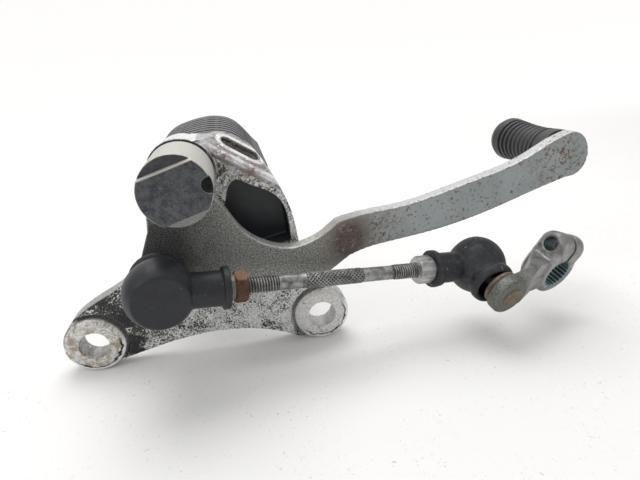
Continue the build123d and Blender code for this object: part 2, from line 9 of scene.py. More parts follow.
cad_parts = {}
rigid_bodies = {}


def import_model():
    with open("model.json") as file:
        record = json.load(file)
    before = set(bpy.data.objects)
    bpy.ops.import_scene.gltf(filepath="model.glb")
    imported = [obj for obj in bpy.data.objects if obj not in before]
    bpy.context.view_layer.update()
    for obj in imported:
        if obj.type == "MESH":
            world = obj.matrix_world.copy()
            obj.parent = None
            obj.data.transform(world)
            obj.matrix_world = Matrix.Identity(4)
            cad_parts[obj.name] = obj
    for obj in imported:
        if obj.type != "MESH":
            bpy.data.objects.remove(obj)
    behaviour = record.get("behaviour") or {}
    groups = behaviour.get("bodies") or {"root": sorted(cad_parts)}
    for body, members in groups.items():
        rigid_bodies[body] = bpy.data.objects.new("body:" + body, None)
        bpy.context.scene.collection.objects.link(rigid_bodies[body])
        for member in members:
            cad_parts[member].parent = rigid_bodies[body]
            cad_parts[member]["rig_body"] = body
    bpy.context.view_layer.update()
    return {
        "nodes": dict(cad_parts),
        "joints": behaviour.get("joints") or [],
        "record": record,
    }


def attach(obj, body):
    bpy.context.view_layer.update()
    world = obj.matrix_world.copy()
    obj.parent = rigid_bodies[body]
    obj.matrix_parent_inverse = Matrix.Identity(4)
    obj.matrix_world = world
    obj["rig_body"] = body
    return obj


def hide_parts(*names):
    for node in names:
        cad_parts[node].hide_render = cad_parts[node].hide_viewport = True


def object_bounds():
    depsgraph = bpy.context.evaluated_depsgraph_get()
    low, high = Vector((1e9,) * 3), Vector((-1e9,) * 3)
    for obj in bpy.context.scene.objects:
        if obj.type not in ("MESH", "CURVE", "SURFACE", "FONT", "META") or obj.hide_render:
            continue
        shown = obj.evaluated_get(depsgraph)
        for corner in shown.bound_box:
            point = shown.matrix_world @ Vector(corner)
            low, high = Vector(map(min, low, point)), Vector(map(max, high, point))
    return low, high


MM = 0.001
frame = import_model()

# ------------------------------------------------------------------ places taken from the frame
# places in this script are measured from the lever pivot
joints = {j["name"]: j for j in frame["joints"]}
mounts = {m["name"]: m for m in frame["record"]["mounts"]}
pivot = Vector(joints["lever_pivot"]["pos_m"])
ball_a = Vector(joints["link_tilt"]["pos_m"])
ball_b = Vector(joints["arm_tilt"]["pos_m"])
rod_axis = Vector(joints["rod_turn"]["axis"]).normalized()
arm_axis = Vector(joints["arm_swing"]["axis"]).normalized()


# ------------------------------------------------------------------ mesh helpers
def body_name(node):
    """CAD body that a node belongs to."""
    return frame["nodes"][node]["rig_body"]


def add_object(name, mesh, body, node=None):
    """Links a finished mesh, lets it ride on a body and stand for a CAD node."""
    obj = bpy.data.objects.new(name, mesh)
    bpy.context.scene.collection.objects.link(obj)
    for polygon in mesh.polygons:
        polygon.use_smooth = True
    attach(obj, body)
    if node:
        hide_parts(node)
    return obj


def reshaped(node, name, voxel_mm, smoothing, roughness_mm=0.0, grain_mm=2.0, keep=None):
    """Copy of a CAD node as a dense mesh with softened edges and a slightly uneven surface."""
    mesh = frame["nodes"][node].data.copy()
    work = bmesh.new()
    work.from_mesh(mesh)
    bmesh.ops.remove_doubles(work, verts=work.verts, dist=1e-6)
    work.to_mesh(mesh)
    work.free()
    obj = bpy.data.objects.new(name + "_work", mesh)
    bpy.context.scene.collection.objects.link(obj)
    remesh = obj.modifiers.new("voxels", "REMESH")
    remesh.mode = "VOXEL"
    remesh.voxel_size = voxel_mm * MM
    smooth = obj.modifiers.new("soften", "SMOOTH")
    smooth.factor = 0.5
    smooth.iterations = smoothing
    bpy.context.view_layer.update()
    depsgraph = bpy.context.evaluated_depsgraph_get()
    dense = bpy.data.meshes.new_from_object(obj.evaluated_get(depsgraph))
    bpy.data.objects.remove(obj)
    dense.materials.clear()
    if roughness_mm:
        shifts = []
        for vertex in dense.vertices:
            p = (vertex.co - pivot) / (grain_mm * MM)
            amount = 0.65 * noise.noise(p) + 0.35 * noise.noise(p * 2.7)
            weight = keep(vertex.co - pivot) if keep else 1.0
            shifts.append(vertex.normal * (amount * roughness_mm * MM * weight))
        for vertex, shift in zip(dense.vertices, shifts):
            vertex.co += shift
    return add_object(name, dense, body_name(node), node)


def turned(name, node, origin, axis, side, stations, segments, radius_at):
    """Closed body of revolution whose radius may also change round the axis."""
    work = bmesh.new()
    up = axis.cross(side).normalized()
    rings = []
    for s in stations:
        ring = []
        for k in range(segments):
            angle = 2 * math.pi * k / segments
            direction = side * math.cos(angle) + up * math.sin(angle)
            ring.append(work.verts.new(origin + axis * s * MM + direction * radius_at(s, angle) * MM))
        rings.append(ring)
    for low, high in zip(rings, rings[1:]):
        for k in range(segments):
            n = (k + 1) % segments
            work.faces.new((low[k], low[n], high[n], high[k]))
    for ring, s in ((rings[0], stations[0]), (rings[-1], stations[-1])):
        tip = work.verts.new(origin + axis * s * MM)
        for k in range(segments):
            work.faces.new((ring[k], tip, ring[(k + 1) % segments]))
    bmesh.ops.recalc_face_normals(work, faces=work.faces)
    mesh = bpy.data.meshes.new(name)
    work.to_mesh(mesh)
    work.free()
    return add_object(name, mesh, body_name(node), node)


def span(start, end, count):
    """Evenly spaced values from start to end, both included."""
    return [start + (end - start) * k / (count - 1) for k in range(count)]


def clamp01(value):
    """Value held between nought and one."""
    return max(0.0, min(1.0, value))


# ------------------------------------------------------------------ material helpers
class Look:
    """Small helper that wires one procedural material."""

    def __init__(self, name):
        self.material = bpy.data.materials.new(name)
        self.material.use_nodes = True
        self.tree = self.material.node_tree
        self.shader = self.tree.nodes["Principled BSDF"]
        source = self.tree.nodes.new("ShaderNodeTexCoord")
        self.place = self.vector("SUBTRACT", source.outputs["Object"], tuple(pivot))
        self.normal = source.outputs["Normal"]
        split = self.node("ShaderNodeSeparateXYZ", Vector=self.place)
        self.x, self.y, self.z = split.outputs
        split = self.node("ShaderNodeSeparateXYZ", Vector=self.normal)
        self.normal_x, self.normal_y, self.normal_z = split.outputs
        self.edges = self.tree.nodes.new("ShaderNodeNewGeometry").outputs["Pointiness"]

    def put(self, socket, value):
        """Links a socket or sets a plain value."""
        if isinstance(value, bpy.types.NodeSocket):
            self.tree.links.new(value, socket)
        elif isinstance(value, tuple) and len(value) == 3 and socket.type == "RGBA":
            socket.default_value = (*value, 1.0)
        else:
            socket.default_value = value

    def vector(self, operation, a, b):
        """One step of vector arithmetic; measures come out as numbers."""
        made = self.tree.nodes.new("ShaderNodeVectorMath")
        made.operation = operation
        self.put(made.inputs[0], a)
        self.put(made.inputs["Scale"] if operation == "SCALE" else made.inputs[1], b)
        return made.outputs["Value" if operation in ("DISTANCE", "DOT_PRODUCT", "LENGTH") else "Vector"]

    def node(self, kind, **inputs):
        """New node with some inputs set by name."""
        made = self.tree.nodes.new(kind)
        for key, value in inputs.items():
            self.put(made.inputs[key.replace("_", " ")], value)
        return made

    def noise(self, size_mm, detail=4.0, rough=0.6, warp=0.0):
        """Noise with features of about the given size."""
        made = self.node("ShaderNodeTexNoise", Vector=self.place, Scale=1 / (size_mm * MM), Detail=detail,
                         Roughness=rough, Distortion=warp)
        return made.outputs["Fac"]

    def cells(self, size_mm):
        """Distance to random points, for pits and specks."""
        made = self.node("ShaderNodeTexVoronoi", Vector=self.place, Scale=1 / (size_mm * MM))
        return made.outputs["Distance"]

    def ramp(self, value, low, high, to_low=0.0, to_high=1.0):
        """Linear step between two values, held at both ends."""
        made = self.node("ShaderNodeMapRange", Value=value)
        made.inputs["From Min"].default_value = low
        made.inputs["From Max"].default_value = high
        made.inputs["To Min"].default_value = to_low
        made.inputs["To Max"].default_value = to_high
        made.clamp = True
        return made.outputs["Result"]

    def math(self, operation, a, b=0.0):
        """One arithmetic step."""
        made = self.tree.nodes.new("ShaderNodeMath")
        made.operation = operation
        self.put(made.inputs[0], a)
        self.put(made.inputs[1], b)
        return made.outputs[0]

    def both(self, *values):
        """Product of several masks."""
        result = values[0]
        for value in values[1:]:
            result = self.math("MULTIPLY", result, value)
        return result

    def either(self, *values):
        """Largest of several masks."""
        result = values[0]
        for value in values[1:]:
            result = self.math("MAXIMUM", result, value)
        return result

    def outside(self, mask):
        """Everything that a mask leaves out."""
        return self.math("SUBTRACT", 1.0, mask)

    def near(self, centre_mm, radius_mm, soft_mm):
        """Mask that is one inside a sphere and fades out over its edge."""
        distance = self.vector("DISTANCE", self.place, tuple(c * MM for c in centre_mm))
        return self.ramp(distance, (radius_mm - soft_mm) * MM, (radius_mm + soft_mm) * MM, 1.0, 0.0)

    def mix(self, mask, below, above):
        """Blend of two colours or sockets by a mask."""
        made = self.tree.nodes.new("ShaderNodeMix")
        made.data_type = "RGBA"
        self.put(made.inputs[0], mask)
        self.put(made.inputs[6], below)
        self.put(made.inputs[7], above)
        return made.outputs[2]

    def blend(self, mask, below, above):
        """Blend of two numbers by a mask."""
        made = self.tree.nodes.new("ShaderNodeMix")
        made.data_type = "FLOAT"
        self.put(made.inputs[0], mask)
        self.put(made.inputs[2], below)
        self.put(made.inputs[3], above)
        return made.outputs[0]

    def finish(self, colour, roughness, metallic, height=None, depth_mm=0.1, strength=0.6):
        """Connects the shader and returns the material."""
        self.put(self.shader.inputs["Base Color"], colour)
        self.put(self.shader.inputs["Roughness"], roughness)
        self.put(self.shader.inputs["Metallic"], metallic)
        if height is not None:
            bump = self.node("ShaderNodeBump", Height=height, Distance=depth_mm * MM, Strength=strength)
            self.put(self.shader.inputs["Normal"], bump.outputs["Normal"])
        return self.material


def paint(obj, material):
    """Gives every face of an object one material."""
    if len(obj.material_slots) == 0:
        obj.data.materials.append(material)
    for slot in obj.material_slots:
        slot.link = "OBJECT"
        slot.material = material


def mount_place(name):
    """Position of a mount, measured from the lever pivot."""
    return Vector(mounts[name]["pos_m"]) - pivot


# ------------------------------------------------------------------ materials
RUST_LIGHT = (0.26, 0.115, 0.05)
GRIME = (0.012, 0.012, 0.013)
SLOPE_POINT = (21.8, 17.0, 5.5)
SLOPE_NORMAL = (0.497, -0.362, 0.789)
SLOPE_SIDE = (0.841, -0.019, -0.538)
HOLE_SPACING = 90.0
hole_middle = mount_place("mounting_holes") / MM
HOLES = [(hole_middle.x + side * HOLE_SPACING / 2, hole_middle.z) for side in (-1, 1)]


def cast_aluminium():
    """Rough cast metal: pitted faces, satin walls, worn boss faces with polished rims and a dark hollow."""
    look = Look("cast_aluminium_worn")
    fine = look.noise(0.85, 3, 0.65)
    grit = look.noise(0.35, 2, 0.6)
    coarse = look.noise(6.0, 4, 0.6, 0.5)
    face = look.ramp(look.normal_y, -0.55, -0.85)
    # pits are denser on the left and sparse in the middle of the web
    left = look.ramp(look.x, 0.004, -0.030)
    dense = look.math("ADD", look.both(left, 0.13), look.both(look.math("SUBTRACT", coarse, 0.5), 0.45))
    grain = look.math("ADD", look.both(fine, 0.75), look.both(grit, 0.25))
    pits = look.ramp(look.math("SUBTRACT", grain, dense), 0.40, 0.50)
    metal_tone = look.mix(look.ramp(grit, 0.35, 0.62), (0.46, 0.46, 0.45), (0.94, 0.94, 0.93))
    colour = look.mix(pits, (0.035, 0.035, 0.034), metal_tone)
    tint = look.both(look.ramp(look.noise(7.0, 3, 0.6), 0.5, 0.7), 0.5)
    colour = look.mix(tint, colour, look.mix(0.5, colour, (0.20, 0.18, 0.13)))
    # smooth black dirt beside the left boss
    band = look.near((-25.5, 8.5, -69.5), 6.5, 2.2)
    band = look.either(band, look.near((-30.0, 8.5, -57.0), 4.6, 2.5))
    band = look.both(band, look.ramp(coarse, 0.36, 0.50), face)
    colour = look.mix(band, colour, GRIME)
    # satin side walls
    side = look.outside(face)
    wall = look.mix(look.ramp(fine, 0.30, 0.60), (0.24, 0.235, 0.23), (0.42, 0.415, 0.40))
    colour = look.mix(look.both(side, 0.85), colour, wall)
    # faces of the two mounting bosses: stained round the hole, with a polished rim on the lower side
    rims = []
    faces = []
    lines = []
    for (hole_x, hole_z), turn in zip(HOLES, (0.35, 0.65)):
        flat = look.node("ShaderNodeCombineXYZ", X=look.x, Y=0.0, Z=look.z).outputs[0]
        centre = (hole_x * MM, 0.0, hole_z * MM)
        distance = look.vector("DISTANCE", flat, centre)
        across = look.vector("DOT_PRODUCT", look.vector("SUBTRACT", flat, centre), (turn, 0.0, -0.94))
        lower = look.ramp(across, 0.0005, 0.0035)
        uneven = look.both(look.math("SUBTRACT", look.noise(2.5, 3, 0.6), 0.5), 0.0030)
        radius = look.math("ADD", distance, uneven)
        faces.append(look.ramp(distance, 0.0118, 0.0114))
        lines.append(look.both(look.ramp(radius, 0.0093, 0.0096), look.ramp(radius, 0.0103, 0.0100), lower))
        rims.append(look.both(look.ramp(radius, 0.0097, 0.0101), look.ramp(distance, 0.0123, 0.0121), lower))
    near_front = look.ramp(look.y, 0.0105, 0.0095)
    boss = look.both(look.either(*faces), look.ramp(look.y, 0.0082, 0.0077))
    rim = look.both(look.either(*rims), near_front)
    line = look.both(look.either(*lines), near_front)
    left_side = look.ramp(look.x, 0.0, -0.020)
    blotches = look.noise(3.2, 5, 0.7, 0.8)
    stain = look.blend(left_side, look.ramp(blotches, 0.58, 0.66), look.ramp(blotches, 0.46, 0.58))
    boss_colour = look.mix(look.ramp(fine, 0.35, 0.60), (0.56, 0.55, 0.53), (0.82, 0.815, 0.80))
    boss_colour = look.mix(look.both(stain, 0.8), boss_colour, (0.30, 0.225, 0.13))
    boss_dirt = look.both(look.ramp(grit, 0.60, 0.68), left_side)
    boss_colour = look.mix(boss_dirt, boss_colour, (0.10, 0.09, 0.075))
    colour = look.mix(boss, colour, boss_colour)
    colour = look.mix(rim, colour, (0.88, 0.88, 0.90))
    colour = look.mix(line, colour, (0.020, 0.020, 0.020))
    # polished collar round the pivot: its upper half is painted as a dark reflection, with a painted bright
    # reflection on the outboard part
    flat = look.node("ShaderNodeCombineXYZ", X=look.x, Y=0.0, Z=look.z).outputs[0]
    length = look.vector("LENGTH", flat, (0.0, 0.0, 0.0))
    collar = look.both(look.ramp(length, 0.0133, 0.0128), look.ramp(look.z, -0.002, 0.002))
    shine = look.both(collar, look.ramp(look.y, 0.0076, 0.0083))
    colour = look.mix(collar, colour, (0.014, 0.014, 0.015))
    colour = look.mix(look.both(shine, look.ramp(coarse, 0.70, 0.56)), colour, (0.80, 0.80, 0.81))
    # sloping top of the wing: an oval groove darkened as painted shade, between edges painted bright as
    # highlights
    off_slope = look.vector("SUBTRACT", look.place, tuple(c * MM for c in SLOPE_POINT))
    height = look.vector("DOT_PRODUCT", off_slope, SLOPE_NORMAL)
    run = look.vector("DOT_PRODUCT", off_slope, SLOPE_SIDE)
    held = look.either(look.math("MINIMUM", run, 0.0052), -0.0052)
    in_plane = look.vector("SUBTRACT", off_slope, look.vector("SCALE", SLOPE_NORMAL, height))
    from_groove = look.vector("DISTANCE", in_plane, look.vector("SCALE", SLOPE_SIDE, held))
    wing = look.both(look.ramp(look.x, 0.0095, 0.0115), look.ramp(look.z, -0.022, -0.018))
    on_slope = look.both(look.ramp(height, -0.0030, -0.0024), wing)
    stripes = look.ramp(look.noise(0.8, 4, 0.7, 0.4), 0.40, 0.62)
    top_worn = look.ramp(look.noise(1.6, 5, 0.7, 0.8), 0.40, 0.60)
    top_tone = look.mix(top_worn, (0.13, 0.12, 0.115), (0.50, 0.49, 0.48))
    colour = look.mix(on_slope, colour, top_tone)
    # groove: painted shade, with light and dark striations
    groove = look.both(look.ramp(from_groove, 0.0031, 0.0025), on_slope)
    colour = look.mix(groove, colour, look.mix(stripes, (0.060, 0.052, 0.048), (0.24, 0.22, 0.205)))
    # bead round the groove: painted highlight, broken by streaks
    bead = look.both(look.ramp(from_groove, 0.0029, 0.0034), look.ramp(from_groove, 0.0054, 0.0046), on_slope)
    streak = look.ramp(look.noise(2.4, 4, 0.6, 0.5), 0.70, 0.56)
    colour = look.mix(look.both(bead, streak), colour, (0.86, 0.86, 0.88))
    # lip along the lower edge of the slope: painted highlight
    lip = look.both(look.ramp(height, -0.0018, -0.0010), look.ramp(look.y, 0.0108, 0.0100), wing)
    colour = look.mix(lip, colour, (0.84, 0.84, 0.86))
    slope = look.either(look.both(bead, streak), lip)
    # bright broken rim of the hollow and rusty dirt in the corner beside the collar
    rim_zone = look.both(look.near((27.0, 9.0, -6.5), 9.5, 3.0), look.outside(on_slope), face)
    broken = look.ramp(look.noise(1.1, 4, 0.75, 0.9), 0.46, 0.56)
    rim_tone = look.mix(broken, (0.055, 0.050, 0.045), (0.84, 0.84, 0.83))
    colour = look.mix(look.both(rim_zone, 0.9), colour, rim_tone)
    corner = look.either(look.near((14.0, 9.0, 4.0), 4.5, 2.5), look.near((24.5, 9.0, -1.5), 4.0, 3.0))
    corner_rust = look.both(corner, look.ramp(look.noise(1.6, 5, 0.7, 0.9), 0.44, 0.52))
    colour = look.mix(look.both(corner_rust, 0.85), colour, (0.13, 0.065, 0.035))
    smears = look.ramp(look.noise(1.2, 4, 0.7, 0.6), 0.44, 0.56)
    dirty = look.both(look.near((13.5, 9.0, -3.0), 5.0, 3.0), smears, face)
    colour = look.mix(look.both(dirty, 0.85), colour, GRIME)
    # dark smooth hollow
    hollow = look.both(look.near((25.0, 19.0, -19.0), 20.0, 0.8), look.ramp(look.y, 0.0093, 0.0105))
    hollow = look.both(hollow, look.ramp(look.normal_y, 0.2, 0.0), look.outside(on_slope))
    inside = look.ramp(look.x, 0.0395, 0.0375)
    hollow = look.both(hollow, inside, look.ramp(look.z, 0.001, -0.003))
    hollow_tone = look.mix(look.ramp(coarse, 0.3, 0.7), (0.022, 0.025, 0.029), (0.036, 0.040, 0.046))
    colour = look.mix(hollow, colour, hollow_tone)
    edge = look.ramp(look.edges, 0.54, 0.62)
    colour = look.mix(look.both(edge, 0.75), colour, (0.85, 0.85, 0.85))
    rough = look.blend(side, look.ramp(coarse, 0.3, 0.7, 0.50, 0.68), 0.38)
    smooth_parts = look.either(rim, shine, slope)
    rough = look.blend(on_slope, rough, 0.34)
    rough = look.blend(smooth_parts, rough, 0.12)
    rough = look.blend(boss, rough, 0.50)
    rough = look.blend(hollow, rough, 0.42)
    dull = look.either(band, line, hollow, corner_rust)
    dark_pits = look.both(look.outside(pits), face)
    metal = look.blend(look.either(dull, look.both(dark_pits, 0.7)), 0.72, 0.05)
    metal = look.blend(boss, metal, 0.45)
    relief = look.both(look.math("ADD", fine, look.both(grit, 0.5)), look.outside(smooth_parts))
    relief = look.both(relief, look.outside(look.both(hollow, 0.9)), look.blend(side, 1.0, 0.35))
    return look.finish(colour, rough, metal, relief, 0.40, 0.75)


def lever_paint():
    """Satin grey steel: sandy round the hub, smooth along the arm, rust at the bend and in specks."""
    look = Look("lever_grey_rusted")
    fine = look.noise(0.7, 3, 0.7)
    grit = look.noise(0.35, 2, 0.7)
    broad = look.noise(9.0, 3, 0.5)
    smooth_tone = look.mix(look.ramp(broad, 0.3, 0.7), (0.270, 0.300, 0.303), (0.330, 0.360, 0.362))
    sandy = look.ramp(look.math("ADD", look.both(fine, 0.5), look.both(grit, 0.5)), 0.42, 0.60)
    sandy_tone = look.mix(sandy, (0.055, 0.054, 0.048), (0.47, 0.465, 0.43))
    near_hub = look.ramp(look.x, 0.056, 0.046)
    colour = look.mix(look.both(near_hub, 0.85), smooth_tone, sandy_tone)
    # painted shadow in the lee of the hub, and round the boot painted shade mixed with dirt
    under = look.both(look.ramp(look.x, 0.016, -0.004), look.ramp(look.z, -0.048, -0.036))
    shade_and_dirt = look.both(under, look.ramp(look.math("ADD", broad, look.both(fine, 0.25)), 0.36, 0.62))
    shade_and_dirt = look.either(shade_and_dirt, look.near((-9.0, 0.0, -22.0), 12.0, 6.0))
    shade_and_dirt = look.both(shade_and_dirt, look.blend(look.ramp(grit, 0.52, 0.62), 1.0, 0.55))
    colour = look.mix(look.both(shade_and_dirt, 0.88), colour, (0.022, 0.023, 0.024))
    # upward faces painted lighter: painted light from above, with a brown stain near the hub
    top = look.ramp(look.normal_z, 0.30, 0.65)
    top_tone = look.mix(look.ramp(fine, 0.3, 0.7), (0.42, 0.43, 0.42), (0.58, 0.59, 0.585))
    top_stain = look.both(near_hub, look.ramp(look.noise(1.2, 4, 0.7), 0.50, 0.62))
    top_tone = look.mix(top_stain, top_tone, (0.30, 0.24, 0.15))
    colour = look.mix(top, colour, top_tone)
    worn = look.ramp(look.edges, 0.535, 0.58)
    colour = look.mix(look.both(worn, 0.7), colour, (0.66, 0.665, 0.66))
    # rust: one smeared patch at the bend, clusters of specks beyond it
    bend = look.near((59.5, 3.0, -31.0), 10.0, 4.5)
    patch = look.both(bend, look.ramp(look.noise(2.4, 6, 0.8, 0.7), 0.34, 0.44))
    beyond = look.near((71.0, 6.0, -30.0), 8.5, 6.0)
    flecks = look.both(beyond, look.ramp(look.noise(1.3, 4, 0.7, 0.6), 0.50, 0.57))
    clusters = look.ramp(look.noise(8.0, 2, 0.5), 0.36, 0.52)
    specks = look.ramp(look.noise(1.25, 4, 0.65, 0.5), 0.580, 0.620)
    specks = look.both(specks, clusters, look.ramp(look.x, 0.045, 0.06))
    few = look.both(look.ramp(look.noise(1.5, 4, 0.65, 0.5), 0.660, 0.700), look.ramp(look.x, 0.058, 0.045))
    toe_specks = look.ramp(look.noise(1.6, 4, 0.7, 0.5), 0.535, 0.585)
    toe = look.both(look.near((150.0, 6.0, -8.0), 12.0, 6.0), toe_specks)
    seam = look.both(look.ramp(look.edges, 0.515, 0.54), look.ramp(look.noise(2.4, 4, 0.7), 0.54, 0.62))
    seam = look.both(seam, look.ramp(look.x, 0.05, 0.06))
    rust = look.either(patch, flecks, specks, few, toe, seam)
    rust_depth = look.ramp(look.noise(0.9, 4, 0.6), 0.35, 0.65)
    rust_colour = look.mix(rust_depth, (0.080, 0.042, 0.022), (0.24, 0.125, 0.060))
    patch_colour = look.mix(look.ramp(fine, 0.4, 0.6), (0.040, 0.025, 0.017), (0.125, 0.080, 0.052))
    rust_colour = look.mix(patch, rust_colour, patch_colour)
    colour = look.mix(look.both(rust, 0.90), colour, rust_colour)
    rough = look.blend(near_hub, look.ramp(fine, 0.3, 0.7, 0.34, 0.46), 0.62)
    rough = look.blend(rust, rough, 0.85)
    rough = look.blend(top, rough, 0.42)
    metal = look.blend(rust, 0.45, 0.0)
    height = look.math("ADD", look.both(fine, look.blend(near_hub, 0.25, 1.0)), look.both(rust, 0.5))
    return look.finish(colour, rough, metal, height, 0.16, 0.5)


def hub_steel():
    """Pale painted side and a dark end face: bare metal whose darkness is partly painted shade."""
    look = Look("hub_steel")
    mottle = look.noise(2.6, 6, 0.7, 0.3)
    fine = look.noise(0.45, 3, 0.7)
    side = look.mix(look.ramp(fine, 0.50, 0.66), (0.50, 0.495, 0.455), (0.40, 0.38, 0.33))
    side = look.mix(look.ramp(look.noise(0.8, 4, 0.7), 0.60, 0.66), side, (0.20, 0.17, 0.13))
    # end face: mottled bare metal, darkened as painted shade
    end = look.mix(look.ramp(mottle, 0.36, 0.66), (0.040, 0.044, 0.050), (0.115, 0.120, 0.130))
    end = look.mix(look.ramp(fine, 0.56, 0.70), end, (0.185, 0.19, 0.20))
    end = look.mix(look.ramp(look.noise(0.9, 3, 0.6), 0.62, 0.68), end, (0.028, 0.029, 0.031))
    face = look.both(look.ramp(look.normal_y, -0.6, -0.8), look.ramp(look.y, -0.017, -0.0175))
    colour = look.mix(face, side, end)
    slant = math.radians(17.5)
    tilted = look.vector("DOT_PRODUCT", look.place, (-math.sin(slant), 0.0, math.cos(slant)))
    low_flat = look.both(look.ramp(tilted, -0.0085, -0.0088), look.ramp(look.y, -0.0193, -0.0190), face)
    low_tone = look.mix(look.ramp(fine, 0.4, 0.65), (0.20, 0.195, 0.18), (0.34, 0.335, 0.31))
    colour = look.mix(look.both(low_flat, 0.9), colour, low_tone)
    high_flat = look.both(look.ramp(tilted, 0.0072, 0.0075), look.ramp(look.y, -0.0193, -0.0190), face)
    colour = look.mix(look.both(high_flat, 0.5), colour, (0.050, 0.046, 0.050))
    step = look.both(look.ramp(tilted, 0.0070, 0.0073), look.ramp(tilted, 0.0079, 0.0077), face)
    colour = look.mix(step, colour, (0.44, 0.42, 0.38))
    notch = look.near((10.4, -19.6, 1.4), 3.1, 0.3)
    colour = look.mix(look.both(notch, look.ramp(look.y, -0.0199, -0.0196)), colour, (0.010, 0.010, 0.011))
    # upward-facing edges of the face painted bright: painted highlight
    upward = look.ramp(look.normal_z, -0.25, 0.15)
    rim = look.both(look.ramp(look.edges, 0.53, 0.58), look.ramp(look.y, -0.0165, -0.018), upward)
    rim = look.both(rim, look.outside(notch), 0.8)
    colour = look.mix(rim, colour, (0.56, 0.55, 0.51))
    rough = look.blend(face, look.ramp(fine, 0.3, 0.7, 0.45, 0.6), look.ramp(mottle, 0.3, 0.7, 0.34, 0.55))
    metal = look.blend(face, 0.30, 0.65)
    return look.finish(colour, rough, metal, look.math("ADD", mottle, fine), 0.12, 0.4)


def rubber(name, tint, gloss, dust, ribbed=False):
    """Satin black rubber with faint lighter patches, dust, fine moulding marks and, if ribbed, worn ribs."""
    look = Look(name)
    broad = look.noise(7.0, 4, 0.6, 0.3)
    fine = look.noise(0.35, 3, 0.7)
    colour = look.mix(look.ramp(broad, 0.3, 0.7), tint, tuple(c * 1.7 + 0.004 for c in tint))
    specks = look.ramp(look.cells(1.9), 0.16, 0.10)
    specks = look.both(specks, look.ramp(look.noise(6.0, 2, 0.5), 0.48, 0.60), dust)
    colour = look.mix(specks, colour, (0.28, 0.27, 0.24))
    film = look.both(look.ramp(look.noise(2.6, 5, 0.7, 0.6), 0.50, 0.75), 0.35 * dust)
    colour = look.mix(film, colour, (0.12, 0.115, 0.10))
    rough = look.ramp(broad, 0.25, 0.75, gloss, gloss + 0.16)
    look.shader.inputs["Specular IOR Level"].default_value = 0.42
    if ribbed:
        turn = look.math("FRACT", look.both(look.math("SUBTRACT", look.y, 0.0554), 125.0))
        ridge = look.both(look.ramp(turn, 0.38, 0.44), look.ramp(turn, 1.0, 0.94))
        ridge = look.both(ridge, look.ramp(look.x, 0.026, 0.021), look.ramp(look.normal_z, 0.3, 0.6))
        colour = look.mix(ridge, colour, (0.100, 0.096, 0.101))
    return look.finish(colour, rough, 0.0, fine, 0.05, 0.35)


def forged_zinc():
    """Forged arm: dull zinc, darker and speckled at the eye, bluish in the splines and the bolt hole."""
    look = Look("forged_zinc")
    broad = look.noise(4.5, 5, 0.62, 0.6)
    fine = look.noise(0.5, 4, 0.7)
    colour = look.mix(look.ramp(broad, 0.34, 0.66), (0.165, 0.160, 0.157), (0.38, 0.378, 0.372))
    eye = (ball_b + arm_axis * 0.018 - pivot) / MM
    at_eye = look.near(eye, 11.0, 3.0)
    eye_tone = look.mix(look.ramp(fine, 0.42, 0.62), (0.095, 0.100, 0.088), (0.26, 0.265, 0.235))
    colour = look.mix(at_eye, colour, eye_tone)
    clamp = mount_place("shaft_clamp")
    from_axis = look.vector("SUBTRACT", look.place, tuple(clamp))
    along = look.vector("SCALE", tuple(arm_axis), look.vector("DOT_PRODUCT", from_axis, tuple(arm_axis)))
    radius = look.vector("DISTANCE", from_axis, along)
    bore = look.ramp(radius, 0.0073, 0.0068)
    teeth = look.ramp(look.edges, 0.47, 0.53)
    colour = look.mix(bore, colour, look.mix(teeth, (0.030, 0.042, 0.048), (0.27, 0.34, 0.36)))
    from_bolt = look.vector("SUBTRACT", look.place, tuple(mount_place("pinch_bolt_hole")))
    bolt_axis = tuple(Vector(mounts["pinch_bolt_hole"]["axis"]).normalized())
    along = look.vector("SCALE", bolt_axis, look.vector("DOT_PRODUCT", from_bolt, bolt_axis))
    bolt = look.ramp(look.vector("DISTANCE", from_bolt, along), 0.0032, 0.0028)
    turns = look.math("FRACT", look.both(look.vector("DOT_PRODUCT", from_bolt, bolt_axis), 1250.0))
    bolt_tone = look.mix(look.ramp(turns, 0.3, 0.6), (0.030, 0.045, 0.050), (0.20, 0.27, 0.29))
    colour = look.mix(bolt, colour, bolt_tone)
    edge = look.ramp(look.edges, 0.525, 0.58)
    colour = look.mix(look.both(edge, 0.45), colour, (0.55, 0.55, 0.54))
    stain = look.ramp(look.noise(1.4, 5, 0.7, 0.8), 0.68, 0.76)
    colour = look.mix(look.both(stain, 0.6), colour, (0.24, 0.17, 0.10))
    rough = look.blend(at_eye, look.ramp(broad, 0.3, 0.7, 0.50, 0.36), 0.55)
    return look.finish(colour, rough, 0.80, look.math("ADD", fine, broad), 0.12, 0.6)


def zinc(name, light, dark, stain_level, bump_mm=0.08, shine=1.0):
    """Dull zinc plate with grey mottling and a little brown stain."""
    look = Look(name)
    broad = look.noise(3.5, 5, 0.62, 0.6)
    fine = look.noise(0.45, 4, 0.7)
    colour = look.mix(look.ramp(broad, 0.32, 0.68), dark, light)
    colour = look.mix(look.ramp(fine, 0.60, 0.75), colour, tuple(c * 0.5 for c in dark))
    stain = look.ramp(look.noise(1.6, 5, 0.7, 0.8), stain_level, stain_level + 0.08)
    colour = look.mix(stain, colour, RUST_LIGHT)
    edge = look.ramp(look.edges, 0.52, 0.60)
    colour = look.mix(look.both(edge, 0.6 * shine), colour, (0.80, 0.80, 0.79))
    hollow = look.ramp(look.edges, 0.47, 0.42)
    colour = look.mix(look.both(hollow, 0.7), colour, (0.05, 0.048, 0.044))
    rough = look.blend(stain, look.ramp(broad, 0.3, 0.7, 0.66 - 0.16 * shine, 0.54 - 0.20 * shine), 0.8)
    metal = look.blend(stain, 0.55 + 0.30 * shine, 0.1)
    return look.finish(colour, rough, metal, look.math("ADD", fine, broad), bump_mm, 0.5)


